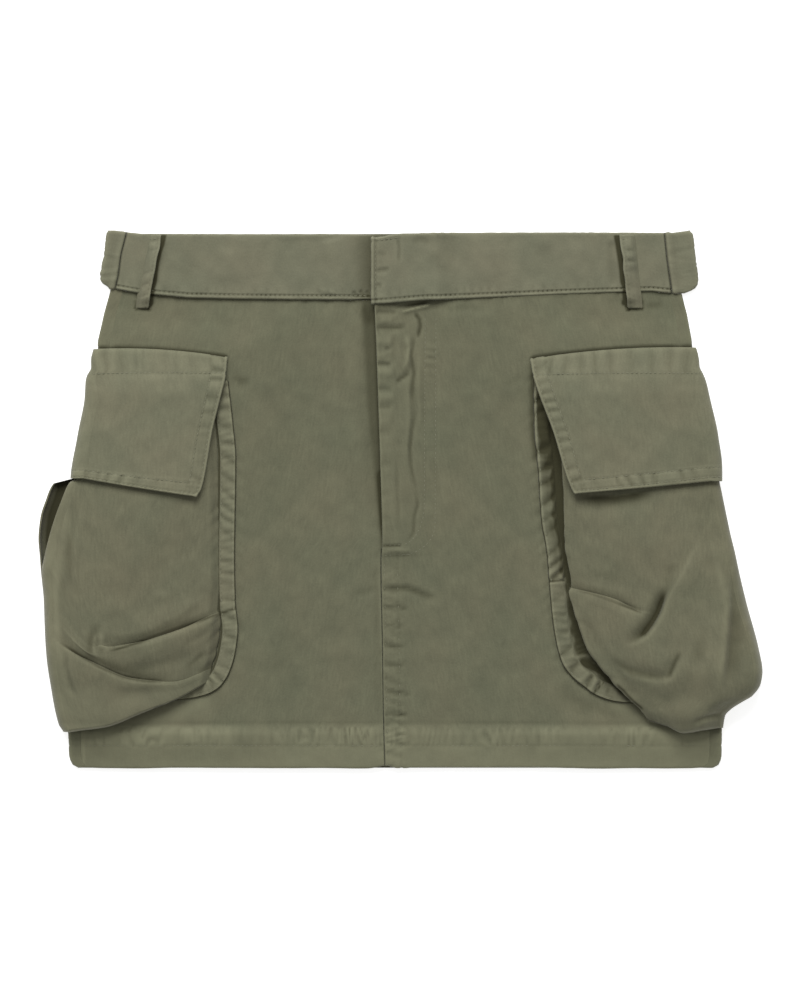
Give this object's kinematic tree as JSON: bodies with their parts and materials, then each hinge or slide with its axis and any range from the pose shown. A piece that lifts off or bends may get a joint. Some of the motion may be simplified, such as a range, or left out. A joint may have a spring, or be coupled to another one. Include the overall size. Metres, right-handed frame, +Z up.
{
  "type": "cargo utility skirt",
  "caption": "Short cotton twill skirt laid flat, with a lapped waistband, belt loops, concealed fly and bellows cargo pockets under flaps at the sides.",
  "frame": {"origin": "Middle of the skirt's footprint, on the surface that it lies on.", "axes": "+X runs along the waistband to the right as seen from above, +Y from hem to waist, +Z up off the surface."},
  "size_m": [0.4707, 0.3496, 0.0309],
  "materials": {
    "panel_twill": "garment-dyed olive cotton twill, matt, faintly mottled",
    "band_twill": "the same twill, doubled and paler where it is worn",
    "pocket_twill": "the same twill, with its fine upright rib showing",
    "gusset_twill": "the same twill, folded, sewn through and puckered"
  },
  "bodies": {
    "root": {"front_left": "panel_twill", "front_right": "panel_twill", "back": "panel_twill", "fly_shield": "panel_twill", "waistband_left": "band_twill", "waistband_right": "band_twill", "waistband_back": "band_twill", "belt_loop_left": "band_twill", "belt_loop_right": "band_twill", "pocket_flap_left": "band_twill", "pocket_flap_right": "band_twill", "pocket_front_left": "pocket_twill", "pocket_front_right": "pocket_twill", "pocket_back_left": "pocket_twill", "pocket_back_right": "pocket_twill", "pocket_gusset_left": "gusset_twill", "pocket_gusset_right": "gusset_twill"}
  },
  "joints": []
}
